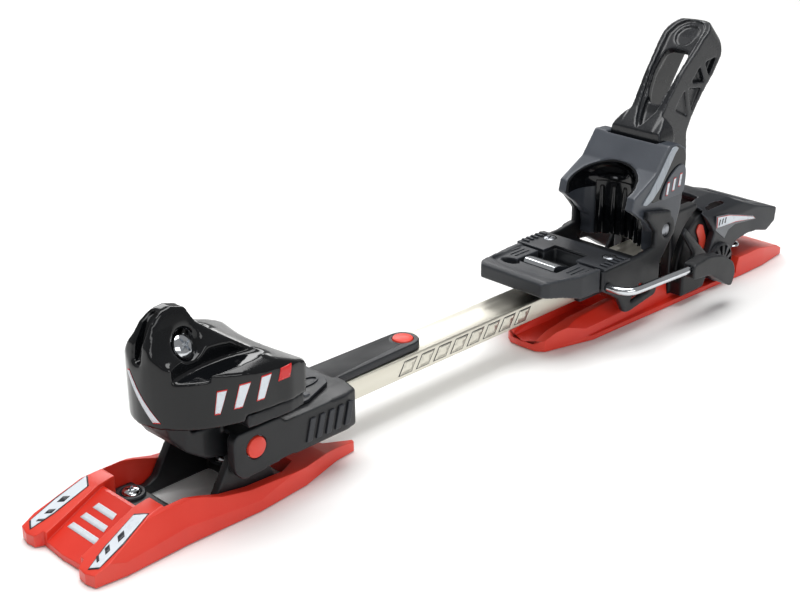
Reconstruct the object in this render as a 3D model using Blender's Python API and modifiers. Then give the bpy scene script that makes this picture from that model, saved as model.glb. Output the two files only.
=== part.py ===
"""Touring ski binding: toe unit and heel carriage on a beam that locks to the ski or lifts for walking.

Lengths below are in millimetres. Stations (x) are counted rearwards from the tips of the front prongs;
the model's origin is on the ski, midway between the two front screws.
"""
import bpy
import bmesh
import math
from mathutils import Matrix, Vector

MM = 0.001
WELD = 0.00001
GAP = 0.3                     # clearance left between touching pieces

# driving dimensions
ORIGIN_X = 54.0               # station of the front ski screws
WALK_AXIS = (99.0, 36.0)      # x, z of the axle that the frame turns on
RELEASE_X = 80.0              # station of the upright toe release post
JAW_AXIS = (436.0, 60.0)
LEVER_AXIS = (452.0, 108.5)
BRAKE_AXIS = (377.0, 38.6)
LOCK_AXIS = (505.0, 18.0)
HOOK_AXIS = (492.0, 22.0)
BEAM_BOTTOM, BEAM_TOP = 23.0, 35.5
BEAM_HALF = 11.5
BEAM_END = 478.0
CHEEK_IN, CHEEK_OUT = 20.0, 25.0      # pivot bracket cheeks
ARM_IN, ARM_OUT = 26.0, 32.0          # toe carrier side arms
EAR_IN, EAR_OUT = 30.3, 34.3          # heel carrier side walls
JAW_HALF = 29.5
WIRE_R = 2.5
WIRE_Y = 50.0

FINISHES = {                  # linear colour, metallic, roughness
    "red plastic": ((0.76, 0.04, 0.02), 0.0, 0.35),
    "matte black": ((0.03, 0.032, 0.036), 0.0, 0.55),
    "gloss black": ((0.008, 0.008, 0.009), 0.0, 0.12),
    "dark grey": ((0.07, 0.078, 0.09), 0.0, 0.4),
    "grey": ((0.16, 0.16, 0.16), 0.0, 0.45),
    "steel": ((0.55, 0.56, 0.58), 1.0, 0.3),
    "chrome": ((0.8, 0.81, 0.83), 1.0, 0.1),
    "aluminium": ((0.7, 0.68, 0.6), 1.0, 0.38),
    "spring steel": ((0.3, 0.3, 0.32), 1.0, 0.4),
}


def new_collection(name):
    collection = bpy.data.collections.new(name)
    bpy.context.scene.collection.children.link(collection)
    return collection


def clear_scene():
    for obj in list(bpy.data.objects):
        bpy.data.objects.remove(obj, do_unlink=True)


clear_scene()
PARTS = new_collection("touring_binding")
CUTTERS = new_collection("cutters")


def at(x, y, z):
    """A point given by station, offset and height, in metres from the origin."""
    return Vector((x - ORIGIN_X, y, z)) * MM


# ---------------------------------------------------------------- shapes

def arc(cx, cy, radius, start, end, count):
    """Points on an arc, angles in degrees."""
    step = (end - start) / count
    angles = [math.radians(start + step * i) for i in range(count + 1)]
    return [(cx + radius * math.cos(a), cy + radius * math.sin(a)) for a in angles]


def mirrored(half):
    """A closed outline from its half at y >= 0, given from front to rear."""
    return half + [(x, -y) for x, y in reversed(half) if y > 0.001]


def rounded(points, radius, count=3):
    """An outline with each corner replaced by a short curve that starts radius away from it."""
    result = []
    for i, corner in enumerate(points):
        here = Vector(corner)
        ends = []
        for other in (Vector(points[i - 1]), Vector(points[(i + 1) % len(points)])):
            side = other - here
            ends.append(here + side.normalized() * min(radius, side.length * 0.45))
        for k in range(count + 1):
            t = k / count
            point = ends[0] * (1 - t) ** 2 + here * (2 * t * (1 - t)) + ends[1] * t ** 2
            result.append((point.x, point.y))
    return result


def weld(obj):
    """Joins a mesh's loose caps and clears edges that lie inside its flat faces."""
    shell = bmesh.new()
    shell.from_mesh(obj.data)
    bmesh.ops.remove_doubles(shell, verts=shell.verts, dist=WELD)
    bmesh.ops.dissolve_limit(shell, angle_limit=math.radians(0.5), verts=shell.verts, edges=shell.edges)
    bmesh.ops.recalc_face_normals(shell, faces=shell.faces)
    shell.to_mesh(obj.data)
    shell.free()


def as_mesh(curve):
    """Replaces a curve object with a closed mesh object of the same name and place."""
    bpy.context.scene.collection.objects.link(curve)
    bpy.context.view_layer.update()
    graph = bpy.context.evaluated_depsgraph_get()
    mesh = bpy.data.meshes.new_from_object(curve.evaluated_get(graph))
    name, place = curve.name, curve.matrix_world.copy()
    bpy.data.objects.remove(curve, do_unlink=True)
    solid = bpy.data.objects.new(name, mesh)
    solid.matrix_world = place
    weld(solid)
    return solid


def prism(name, plane, points, low, high):
    """A flat outline in plane XY, XZ or YZ, thickened from low to high along the third axis."""
    data = bpy.data.curves.new(name, "CURVE")
    data.dimensions = "2D"
    data.fill_mode = "BOTH"
    data.extrude = (high - low) / 2 * MM
    spline = data.splines.new("POLY")
    spline.points.add(len(points) - 1)
    spline.use_cyclic_u = True
    for knot, (u, v) in zip(spline.points, points):
        along = u if plane == "YZ" else u - ORIGIN_X
        knot.co = (along * MM, v * MM, 0, 1)
    curve = bpy.data.objects.new(name, data)
    middle = (low + high) / 2 * MM
    if plane == "XY":
        curve.location = (0, 0, middle)
    elif plane == "XZ":
        curve.location = (0, middle, 0)
        curve.rotation_euler = (math.pi / 2, 0, 0)
    else:
        curve.location = (middle - ORIGIN_X * MM, 0, 0)
        curve.rotation_euler = (math.pi / 2, 0, math.pi / 2)
    return as_mesh(curve)


def block(name, low, high):
    """A box between two corners."""
    mesh = bpy.data.meshes.new(name)
    shell = bmesh.new()
    bmesh.ops.create_cube(shell, size=1)
    size = at(*high) - at(*low)
    bmesh.ops.scale(shell, vec=size, verts=shell.verts)
    shell.to_mesh(mesh)
    shell.free()
    obj = bpy.data.objects.new(name, mesh)
    obj.location = (at(*low) + at(*high)) / 2
    return obj


def cylinder(name, start, end, radius, sides=24, end_radius=None):
    """A round bar between two points."""
    mesh = bpy.data.meshes.new(name)
    shell = bmesh.new()
    axis = at(*end) - at(*start)
    tip = radius if end_radius is None else end_radius
    bmesh.ops.create_cone(shell, cap_ends=True, segments=sides, radius1=radius * MM, radius2=tip * MM,
                          depth=axis.length)
    shell.to_mesh(mesh)
    shell.free()
    mesh.shade_smooth()
    mesh.set_sharp_from_angle(angle=math.radians(40))
    obj = bpy.data.objects.new(name, mesh)
    obj.location = (at(*start) + at(*end)) / 2
    obj.rotation_mode = "QUATERNION"
    obj.rotation_quaternion = axis.to_track_quat("Z", "Y")
    return obj


def turned(name, profile, foot, direction=(0, 0, 1), sides=20):
    """A turned piece: profile of (radius, height) from the top down, its axis standing on foot."""
    mesh = bpy.data.meshes.new(name)
    points = [(radius * MM, 0, height * MM) for radius, height in profile]
    mesh.from_pydata(points, [(i, i + 1) for i in range(len(points) - 1)], [])
    obj = bpy.data.objects.new(name, mesh)
    obj.location = at(*foot)
    obj.rotation_mode = "QUATERNION"
    obj.rotation_quaternion = Vector(direction).to_track_quat("Z", "Y")
    screw = obj.modifiers.new("turn", "SCREW")
    screw.axis = "Z"
    screw.steps = sides
    screw.render_steps = sides
    screw.use_merge_vertices = True
    screw.merge_threshold = 0.00001
    return obj


def wire(name, route, radius, resolution=2):
    """A round wire along a list of points, with its caps welded on."""
    data = bpy.data.curves.new(name, "CURVE")
    data.dimensions = "3D"
    data.bevel_depth = radius * MM
    data.bevel_resolution = resolution
    data.use_fill_caps = True
    spline = data.splines.new("POLY")
    spline.points.add(len(route) - 1)
    for knot, point in zip(spline.points, route):
        knot.co = (*at(*point), 1)
    return as_mesh(bpy.data.objects.new(name, data))


def coil(name, start, end, radius, wire_radius, turns):
    """A compression spring between two points."""
    low, high = Vector(start), Vector(end)
    axis = (high - low).normalized()
    side = axis.orthogonal().normalized()
    other = axis.cross(side)
    count = turns * 10
    route = []
    for i in range(count + 1):
        angle = 2 * math.pi * i / 10
        centre = low.lerp(high, i / count)
        route.append(centre + (side * math.cos(angle) + other * math.sin(angle)) * radius)
    return wire(name, route, wire_radius, 1)


# ---------------------------------------------------------------- joining and finishing

def hide(cutter):
    CUTTERS.objects.link(cutter)
    cutter.hide_render = True
    cutter.display_type = "WIRE"


def combine(target, operation, *others):
    for other in others:
        hide(other)
        step = target.modifiers.new(operation.lower(), "BOOLEAN")
        step.operation = operation
        step.object = other
    return target


def cut(target, *cutters):
    return combine(target, "DIFFERENCE", *cutters)


def add(target, *others):
    return combine(target, "UNION", *others)


def common(target, *others):
    return combine(target, "INTERSECT", *others)


def soften(obj, width, segments=2):
    bevel = obj.modifiers.new("soften", "BEVEL")
    bevel.width = width * MM
    bevel.segments = segments
    bevel.limit_method = "ANGLE"
    bevel.angle_limit = math.radians(40)
    return obj


def both_sides(name, make):
    """A pair: make(side) builds the piece at -Y, the skier's left, and then at +Y."""
    pair = []
    for side, label in ((-1, "left"), (1, "right")):
        piece = make(side)
        piece.name = f"{name}_{label}"
        pair.append(piece)
    return pair


def finish(obj, kind, group):
    """Gives a piece, or each of several, its own material and hangs it on its moving group."""
    if isinstance(obj, list):
        return [finish(piece, kind, group) for piece in obj]
    colour, metallic, roughness = FINISHES[kind]
    material = bpy.data.materials.new(obj.name)
    material.use_nodes = True
    shader = material.node_tree.nodes["Principled BSDF"]
    shader.inputs["Base Color"].default_value = (*colour, 1)
    shader.inputs["Metallic"].default_value = metallic
    shader.inputs["Roughness"].default_value = roughness
    obj.data.materials.clear()
    obj.data.materials.append(material)
    PARTS.objects.link(obj)
    if group is not None:
        obj.parent = group
        obj.location -= offsets[group.name]
    return obj


offsets = {}


def moving_group(name, x, y, z, parent=None):
    """An empty on a joint's axis, which carries the pieces that move with that joint."""
    empty = bpy.data.objects.new(name, None)
    PARTS.objects.link(empty)
    place = at(x, y, z)
    offsets[name] = place
    empty.location = place
    if parent is not None:
        empty.parent = parent
        empty.location -= offsets[parent.name]
    return empty


def side_prism(name, outline, inner, outer, side):
    """An XZ outline between two distances from the centre plane, on one side of it."""
    low, high = sorted((inner * side, outer * side))
    return prism(name, "XZ", outline, low, high)


def pan_screw(name, foot, head_r, head_h, shank_r, shank, direction=(0, 0, 1)):
    """A pan-headed screw: foot is under the head, direction is out of the head."""
    edge = head_r * 0.2
    profile = [(0, head_h), (head_r - edge * 2, head_h), (head_r, head_h - edge), (head_r, 0),
               (shank_r, 0), (shank_r, -shank), (0, -shank)]
    return turned(name, profile, foot, direction, 16)


# ---------------------------------------------------------------- ski base, front

FRONT_PLATE_TOP = 9.5
REAR_PLATE_TOP = 6.0
FRONT_SCREWS = [(54.0, 13.8, FRONT_PLATE_TOP), (113.0, 13.8, REAR_PLATE_TOP)]   # x, half spacing, face height


def front_base_cover():
    half = [(4, 0), (5, 17), (0.6, 19), (0, 25), (1.5, 31), (18, 33), (54, 32), (99, 33.5),
            (132, 30.6), (160, 23), (174, 21.5), (175, 19), (158, 14), (152, 0)]
    cover = prism("front_base_cover", "XY", mirrored(half), 0, 24)
    top = [(-2, -1), (-2, 4.5), (1, 6.5), (36, 21.8), (45, 23.2), (56, 22.8), (66, 20), (78, 15.8), (95, 12.8), (112, 12),
           (150, 9.5), (176, 5.5), (176, -1)]
    edges = [(-40, -1), (-34, 5), (-27.5, 21), (-25, 23), (25, 23), (27.5, 21), (34, 5), (40, -1)]
    common(cover, prism("front_height", "XZ", top, -40, 40))
    common(cover, prism("front_chamfer", "YZ", edges, -5, 180))
    valley = [(-6, 3), (4, 3.2), (37.5, 19.8), (41, 19.8), (41, 30), (-6, 30)]
    hole = [(45.8, 25.6), (45.8, 14.5), (39.5, 14.5), (39.5, -14.5), (45.8, -14.5), (45.8, -25.6), (120, -25.6),
            (131, -20), (131, 20), (120, 25.6)]
    cut(cover, prism("valley", "XZ", valley, -14.5, 14.5))
    cut(cover, prism("ski_hole", "XY", hole, -5, 30))
    return cover


def pivot_bracket():
    x, z = WALK_AXIS
    cheek = [(70, 0), (118, 0), (118, 6), (105.5, 33)] + arc(x, z, 7, 15, 149, 6) + [(74, 8), (70, 6)]
    bracket = block("pivot_bracket", (46.2, -CHEEK_OUT + 0.2, 0), (62, CHEEK_OUT - 0.2, FRONT_PLATE_TOP))
    rear = block("bracket_rear", (107, -CHEEK_OUT + 0.2, 0), (119, CHEEK_OUT - 0.2, REAR_PLATE_TOP))
    add(bracket, rear)
    for side in (-1, 1):
        flange = block("bracket_flange", (47, CHEEK_IN, 0), (118, CHEEK_OUT - 0.4, REAR_PLATE_TOP - 0.4))
        flange.location.y *= side
        add(bracket, flange, side_prism("cheek", cheek, CHEEK_IN, CHEEK_OUT, side))
    cut(bracket, cylinder("bracket_bore", (x, -40, z), (x, 40, z), 5.3))
    for sx, sy, _ in FRONT_SCREWS:
        for side in (-1, 1):
            cut(bracket, cylinder("screw_bore", (sx, sy * side, -5), (sx, sy * side, 20), 2.7, 12))
    return bracket


def ski_screws(name, places):
    """Screws through a base at each x, at the half spacing either side; top is the face they clamp."""
    screws = []
    for sx, sy, top in places:
        for side in (-1, 1):
            label = f"{name}_{len(screws) + 1}"
            screws.append(pan_screw(label, (sx, sy * side, top + GAP), 5, 2.6, 2.4, top))
    return screws


def build_front_base():
    x, z = WALK_AXIS
    finish(front_base_cover(), "red plastic", None)
    finish(pivot_bracket(), "matte black", None)
    finish(ski_screws("front_screw", FRONT_SCREWS), "chrome", None)
    finish(cylinder("walk_axle", (x, -30.2, z), (x, 30.2, z), 5), "steel", None)


# ---------------------------------------------------------------- frame: toe carrier and beam

def toe_carrier():
    x, z = WALK_AXIS
    arm = [(84.7, 27), (90, 20.5), (139, 24.4), (152, 24.4), (152, 43.2), (118, 43.2), (113, 46.8),
           (88, 46.8), (84.7, 44)]
    spine = [(60, 53.6), (61.5, 47), (68, 39), (78, 32.5), (88, 30), (94, 25), (122, 21.5), (168, 21.5), (168, 43.2),
             (112, 43.5), (92, 46.8), (88, 49.5), (70.4, 49.5), (70, 53.6)]
    deck = [(88, 43.8), (111, 43.8), (114, 39.8), (150, 39.8), (150, 43.2), (118, 43.2), (115, 46.7), (88, 46.7)]
    tail = [(124, 31.9), (160, 31.9), (168, 30), (171, 20)]
    carrier = prism("toe_carrier", "XZ", spine, -19, 19)
    add(carrier, prism("deck", "XZ", deck, -31.8, 31.8))
    add(carrier, prism("tail", "XY", tail + [(px, -py) for px, py in reversed(tail)], 21.7, 43.1))
    for side in (-1, 1):
        piece = side_prism("arm", rounded(arm, 3), ARM_IN, ARM_OUT, side)
        add(carrier, piece)
    for side in (-1, 1):
        corner = [(50, 8 * side), (50, 25 * side), (76, 25 * side), (76, 19.1 * side), (68, 17.2 * side),
                  (62.5, 13 * side)]
        cut(carrier, prism("nose_corner", "XY", corner, 28, 60))
    beam_room = block("beam_room", (128, -BEAM_HALF - GAP, BEAM_BOTTOM - GAP), (190, BEAM_HALF + GAP, BEAM_TOP + GAP))
    cut(carrier, beam_room)
    cut(carrier, block("cover_room", (168, -BEAM_HALF - GAP, BEAM_BOTTOM - GAP), (190, BEAM_HALF + GAP, 60)))
    cut(carrier, cylinder("axle_bore", (x, -30.5, z), (x, 30.5, z), 7.3))
    cut(carrier, cylinder("cap_bore", (x, -40, z), (x, 40, z), 6.1))
    cut(carrier, cylinder("post_bore", (RELEASE_X, 0, 38), (RELEASE_X, 0, 60), 4.3, 16))
    return carrier


def release_post():
    profile = [(0, 74), (5.2, 74), (6, 73), (6, 54), (9, 53), (9, 49.8), (4, 49.8), (4, 40), (0, 40)]
    return turned("release_post", profile, (RELEASE_X, 0, 0))


def pivot_bushes():
    x, z = WALK_AXIS
    def bush(side):
        ring = cylinder("bush", (x, 26.3 * side, z), (x, 30.1 * side, z), 7)
        return cut(ring, cylinder("bush_bore", (x, 20 * side, z), (x, 35 * side, z), 5.3))
    return both_sides("pivot_bush", bush)


def pivot_caps():
    x, z = WALK_AXIS
    return both_sides("pivot_cap", lambda side: cylinder("cap", (x, 30.8 * side, z), (x, 32.8 * side, z), 5.8))


def gliding_plate():
    half = [(119.5, 0), (119.5, 25), (140, 25), (160, 17), (163, 12), (163, 0)]
    plate = prism("gliding_plate", "XY", mirrored(half), 43.2 + GAP, 45.2)
    for gx in (126, 133, 140):
        add(plate, block("rib", (gx, -22, 44.6), (gx + 3.5, 22, 46)))
    return plate


def beam():
    tube = soften(block("beam", (128.4, -BEAM_HALF, BEAM_BOTTOM), (BEAM_END, BEAM_HALF, BEAM_TOP)), 0.8)
    return cut(tube, block("beam_inside", (120, -BEAM_HALF + 2.2, BEAM_BOTTOM + 2), (490, BEAM_HALF - 2.2, BEAM_TOP - 2)))


def beam_cover():
    outline = [(170.4, -10.5), (233, -9.5)] + arc(233, 0, 9.5, -70, 70, 8) + [(233, 9.5), (170.4, 10.5)]
    cover = soften(prism("beam_cover", "XY", outline, BEAM_TOP + GAP, 40.6), 0.8)
    return cut(cover, cylinder("plug_bore", (233, 0, 30), (233, 0, 50), 6.4))


def build_frame(walk):
    finish(toe_carrier(), "matte black", walk)
    finish(pivot_bushes(), "steel", walk)
    finish(pivot_caps(), "red plastic", walk)
    finish(gliding_plate(), "matte black", walk)
    finish(release_post(), "steel", walk)
    finish(beam(), "aluminium", walk)
    finish(beam_cover(), "matte black", walk)
    finish(cylinder("cover_plug", (233, 0, BEAM_TOP + GAP), (233, 0, 41.3), 6.1), "red plastic", walk)
    plug = block("beam_end_plug", (BEAM_END + GAP, -BEAM_HALF, BEAM_BOTTOM), (481.4, BEAM_HALF, BEAM_TOP))
    add(plug, block("plug_tongue", (468, -BEAM_HALF + 2.6, BEAM_BOTTOM + 2.4), (480, BEAM_HALF - 2.6, BEAM_TOP - 2.4)))
    finish(plug, "matte black", walk)
    catch = [(471.5, BEAM_TOP + GAP), (481.2, BEAM_TOP + GAP), (481.2, 45), (478.5, 45), (476, 39.5), (471.5, 38)]
    finish(prism("catch_bracket", "XZ", catch, -10, 10), "steel", walk)


# ---------------------------------------------------------------- toe unit

SPRING_FOOT = Vector((58, 0, 69))
SPRING_WAY = Vector((0.6, 0, 0.8))       # slope of the toe spring, up and back to the crest


def on_spring(distance):
    return tuple(SPRING_FOOT + SPRING_WAY * distance)


TOE_SCREW_FACE = (0.2, 0.85, 0.49)       # way the housing screws face, on the +Y side
TOE_SCREW_SEAT = (76, 10, 92)
TOE_FLOOR = 54.0


def toe_outline():
    """Plan of the housing from its nose, a half ellipse, to the two wings beside the boot."""
    half = []
    for i in range(13):
        angle = math.radians(90 * i / 12)
        half.append((110 - 57 * math.cos(angle), 37 * math.sin(angle)))
    return half + [(118, 38), (129, 36), (132, 31.5), (128, 20), (125, 10), (124, 0)]


def toe_housing():
    ridge = [(40, TOE_FLOOR), (53, TOE_FLOOR), (53, 72), (53.6, 84), (55.5, 95.5), (61, 105.5), (67, 110), (73.5, 111),
             (82, 108.5), (86.4, 99.8), (97.8, 90.9), (111.3, 81.1), (121.9, 77.2), (133, 73), (133, TOE_FLOOR)]
    slope = [(0, 112), (4, 111), (6.5, 100), (10, 92.5), (15, 88), (24, 84.5), (30, 82.5), (35, 80), (38.2, 75),
             (38.2, 50), (0, 50)]
    housing = prism("toe_housing", "XY", mirrored(toe_outline()), TOE_FLOOR, 115)
    common(housing, prism("toe_ridge", "XZ", ridge, -45, 45))
    common(housing, prism("toe_slope", "YZ", slope + [(-y, z) for y, z in reversed(slope) if y > 0], 40, 140))
    cavity = [(60, 0), (60.5, 12), (67, 20), (104, 20), (104, 0)]
    cut(housing, prism("toe_cavity", "XY", mirrored(cavity), 40, 76))
    notch = [(109, 0), (112, 14), (118, 24), (126, 31), (140, 34)]
    cut(housing, prism("boot_toe_notch", "XY", mirrored(notch), 40, 66))
    cut(housing, block("jaw_room", (91.7, -45, 40), (140, 45, 57)))
    cut(housing, cylinder("spring_bore", on_spring(4), on_spring(37), 5.2))
    cut(housing, cylinder("screw_way", on_spring(30), on_spring(60), 4.6, 16))
    for side in (-1, 1):
        oval = [(87 + 29 * math.cos(a * math.pi / 12), side * (21.5 + 8 * math.sin(a * math.pi / 12)))
                for a in range(24)]
        cut(housing, prism("oval_recess", "XY", oval, 79.5, 120))
        face = Vector(TOE_SCREW_FACE) * Vector((1, side, 1))
        centre = Vector(TOE_SCREW_SEAT) * Vector((1, side, 1))
        cut(housing, cylinder("screw_seat", centre - face * 2.5, centre + face * 12, 7.6, 20))
    return housing


def toe_jaw():
    half = [(92, 0), (92, 35.5), (118, 37), (128, 35), (131, 29.5), (130, 25.6), (121.6, 21.8), (112.4, 13.4), (108.6, 0)]
    jaw = prism("toe_jaw", "XY", mirrored(half), 50.3, 57 - GAP)
    return cut(jaw, block("jaw_step", (103, -14, 40), (120, 14, 52)))


def housing_screws():
    def screw(side):
        face = Vector(TOE_SCREW_FACE) * Vector((1, side, 1))
        seat = Vector(TOE_SCREW_SEAT) * Vector((1, side, 1)) - face * 2.1
        return pan_screw("screw", tuple(seat), 5.2, 2.2, 2, 0.1, tuple(face))
    return both_sides("housing_screw", screw)


def build_toe(release):
    finish(toe_housing(), "gloss black", release)
    finish(toe_jaw(), "matte black", release)
    finish(housing_screws(), "chrome", release)
    finish(coil("toe_spring", on_spring(11), on_spring(33), 3.9, 0.8, 5), "spring steel", release)
    finish(cylinder("toe_plunger", on_spring(5), on_spring(9.6), 4.7), "steel", release)


def toe_setting_screw():
    profile = [(0, 5.6), (3.8, 5.6), (4.2, 5.2), (4.2, 0), (0, 0)]
    return turned("toe_setting_screw", profile, on_spring(38), tuple(SPRING_WAY))


# ---------------------------------------------------------------- heel carriage

def heel_carrier():
    bx, bz = BRAKE_AXIS
    wall = ([(371.6, 50.3), (371.6, 37), (379, 33), (389, 27), (396, 15.5), (401, 14.5), (428, 18.5),
             (431, 26), (431, 40)] + arc(*JAW_AXIS, 9.5, -25, 60, 6)
            + [(440, 72.5), (416, 77), (415.5, 72), (424.5, 62), (424.5, 52), (410, 50.3)])
    carrier = block("heel_carrier", (371.7, -EAR_OUT + 0.1, 36.4), (398, EAR_OUT - 0.1, 50.2))
    add(carrier, block("carrier_floor", (390, -EAR_OUT + 0.1, 36.4), (426, EAR_OUT - 0.1, 41)))
    for side in (-1, 1):
        add(carrier, side_prism("carrier_wall", wall, EAR_IN, EAR_OUT, side))
        leg = block("saddle_leg", (372, 12, 24.5), (424, 17, 38))
        leg.location.y *= side
        add(carrier, leg)
        window = rounded([(400, 20), (424, 23), (411, 31.5)], 2)
        cut(carrier, side_prism("foot_window", window, 25, 40, side))
    cut(carrier, cylinder("pin_bore", (JAW_AXIS[0], -40, JAW_AXIS[1]), (JAW_AXIS[0], 40, JAW_AXIS[1]), 4.3, 16))
    cut(carrier, cylinder("wire_way", (bx, -45, bz), (bx, 45, bz), WIRE_R + 0.4, 16))
    cut(carrier, block("pedal_room", (360, -13, 30), (383, 13, 60)))
    for side in (-1, 1):
        cut(carrier, cylinder("plate_screw_bore", (391, 24 * side, 42), (391, 24 * side, 60), 2.3, 12))
    return carrier


def slider_plate():
    plate = block("slider_plate", (371.7, -34.8, 50.3 + GAP), (397.8, 34.8, 52))
    cut(plate, block("plate_slot", (360, -13, 40), (383, 13, 60)))
    for side in (-1, 1):
        cut(plate, cylinder("plate_bore", (391, 24 * side, 45), (391, 24 * side, 51.2), 2.3, 12))
        cut(plate, cylinder("plate_seat", (391, 24 * side, 51.0), (391, 24 * side, 60), 4.6, 16))
    return plate


def slider_screws():
    def screw(side):
        return turned("screw", [(0, 51.9), (4.2, 51.9), (4.2, 51.3), (2, 51.3), (2, 43), (0, 43)], (391, 24 * side, 0))
    return both_sides("slider_screw", screw)


def heel_pad():
    half = [(325, 0), (325, 24), (329, 27), (354, 32), (370.6, 33), (370.6, 0)]
    side = [(324, 44), (325, 52.5), (328, 53.6), (340, 53), (352, 51.9), (371, 51.9), (371, 37), (354, 37), (340, 41)]
    pad = prism("heel_pad", "XY", mirrored(half), 35, 55)
    common(pad, prism("pad_side", "XZ", side, -40, 40))
    return cut(pad, block("pedal_recess", (349, -16, 40.8), (380, 16, 60)))


def build_carriage(slide):
    finish(heel_carrier(), "matte black", slide)
    finish(slider_plate(), "matte black", slide)
    finish(slider_screws(), "steel", slide)
    finish(heel_pad(), "matte black", slide)
    x, z = JAW_AXIS
    finish(both_sides("jaw_pin", lambda side: cylinder("pin", (x, 26.2 * side, z), (x, 33.9 * side, z), 4, 20)),
           "steel", slide)


# ---------------------------------------------------------------- heel jaw and lever

def jaw_housing():
    side = [(404, 79), (406, 87), (427.5, 98), (440, 113.5), (450, 113), (458, 108.5), (459, 103), (459, 90),
            (456.5, 68), (452, 56), (446, 47), (428, 45), (429, 50), (427.5, 59), (418, 69)]
    jaw = prism("jaw_housing", "XZ", side, -JAW_HALF, JAW_HALF)
    cut(jaw, cylinder("boot_heel", (414, 0, 30), (414, 0, 84), 25.2, 32))
    dome = bpy.data.meshes.new("heel_dome")
    shell = bmesh.new()
    bmesh.ops.create_uvsphere(shell, u_segments=24, v_segments=12, radius=25.2 * MM)
    bmesh.ops.scale(shell, vec=(1, 1, 0.84), verts=shell.verts)
    shell.to_mesh(dome)
    shell.free()
    top = bpy.data.objects.new("heel_dome", dome)
    top.location = at(414, 0, 83.5)
    cut(jaw, top)
    cut(jaw, block("lever_slot", (440, -20, 103), (470, 20, 130)))
    lx, lz = LEVER_AXIS
    cut(jaw, cylinder("lever_pin_bore", (lx, -26.4, lz), (lx, 26.4, lz), 2.6, 12))
    cut(jaw, cylinder("jaw_pin_bore", (JAW_AXIS[0], -40, JAW_AXIS[1]), (JAW_AXIS[0], 40, JAW_AXIS[1]), 4.3, 16))
    cut(jaw, cylinder("heel_spring_bore", (448.5, 0, 62), (448.5, 0, 90), 6.6, 20))
    cut(jaw, cylinder("heel_screw_way", (448.5, 0, 85), (448.5, 0, 110), 4.6, 16))
    return jaw


def jaw_cup():
    outline = arc(414, 0, 24.8, -50, 50, 12) + arc(414, 0, 22.6, 50, -50, 12)
    return prism("jaw_cup", "XY", outline, 46.5, 83)


def jaw_side_panels():
    outline = [(432, 79.5), (435, 87), (441, 94), (448, 98.5), (454, 99.5), (457.5, 96), (458, 88), (456.5, 79.5)]
    return both_sides("jaw_side_panel",
                      lambda side: side_prism("panel", rounded(outline, 3), JAW_HALF + GAP, 31, side))


EYE_CENTRE = (483, 0, 143)
LEVER_ALONG, LEVER_ACROSS = Vector((0.71, 0, 0.704)), Vector((0.704, 0, -0.71))


def lever_column(name, outline, low, high):
    """A bar square to the lever's front plate: its outline is along the lever and across it, from the eye."""
    bar = prism(name, "XY", [(ORIGIN_X + u, v) for u, v in outline], low, high)
    turn = Matrix((LEVER_ALONG, (0, 1, 0), -LEVER_ACROSS)).transposed().to_4x4()
    bar.matrix_world = Matrix.Translation(at(*EYE_CENTRE)) @ turn @ bar.matrix_world
    return bar


def heel_lever():
    """A channel open to the rear: a front plate with an eye through it, between two trussed walls."""
    side = [(443, 104.6), (443, 118), (455, 129), (470, 150), (490, 171), (502, 178), (511, 177), (517, 169),
            (511.5, 156), (497, 136), (488, 122), (483, 111), (484.5, 98), (485.5, 90), (480, 89), (466, 102),
            (462, 104.4), (457, 104.6)]
    lever = prism("heel_lever", "XZ", side, -16, 16)
    paddle = [(-80, 12.5), (-25, 12.5), (0, 14), (16, 15.8), (27, 15.9)] + arc(27, 0, 15.9, 80, 10, 6)
    common(lever, lever_column("paddle", paddle + [(u, -v) for u, v in reversed(paddle)], -60, 60))
    base = [(443.2, 105), (443.2, 118), (454, 127), (459.5, 118), (459.5, 105)]
    add(lever, prism("lever_base", "XZ", base, -19.6, 19.6))
    lx, lz = LEVER_AXIS
    cut(lever, cylinder("pin_hole", (lx, -30, lz), (lx, 30, lz), 2.6, 12))
    channel = [(466, 117), (463, 124.5), (476.3, 145), (495, 164), (503, 166), (530, 162), (505, 128), (494, 113)]
    cut(lever, prism("lever_channel", "XZ", channel, -10.3, 10.3))
    windows = [[(467.5, 127.5), (481.5, 120.5), (476, 139)], [(480, 139.5), (485.5, 123.5), (493.5, 137.5)],
               [(482.5, 143), (495.5, 141.5), (489, 152.5)], [(493.5, 154.5), (499.5, 145), (506, 156)]]
    for window in windows:
        for wall in (-1, 1):
            cut(lever, side_prism("wall_window", rounded(window, 1.5), 11.6, 18, wall))
    eye = rounded([(-23, 4.5), (-14, 7.4), (0, 9.2), (12, 9.2), (15, 6), (15, -6), (12, -9.2), (0, -9.2), (-14, -7.4),
                   (-23, -4.5)], 3)
    return cut(lever, lever_column("lever_eye", eye, -45, 45))


def build_jaw(jaw):
    lx, lz = LEVER_AXIS
    finish(jaw_housing(), "dark grey", jaw)
    finish(jaw_cup(), "gloss black", jaw)
    finish(jaw_side_panels(), "grey", jaw)
    finish(cylinder("lever_pin", (lx, -26, lz), (lx, 26, lz), 2.3, 16), "steel", jaw)
    finish(coil("heel_spring", (448.5, 0, 64), (448.5, 0, 84), 5, 1.1, 4), "spring steel", jaw)


def heel_setting_screw():
    profile = [(0, 102.8), (3.9, 102.8), (4.2, 102.4), (4.2, 86), (0, 86)]
    return turned("heel_setting_screw", profile, (448.5, 0, 0))


# ---------------------------------------------------------------- brake

def brake_wire():
    bx, bz = BRAKE_AXIS
    half = [(bx, 0, bz), (bx, 39, bz), (bx + 0.6, 43.5, bz), (bx + 2.6, 47.6, bz), (bx + 6.2, 49.6, bz),
            (bx + 11, WIRE_Y, bz), (433, WIRE_Y, 36.4), (452, WIRE_Y, 35.4)]
    route = [(x, -y, z) for x, y, z in reversed(half)] + half[1:]
    return wire("brake_wire", route, WIRE_R)


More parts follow.
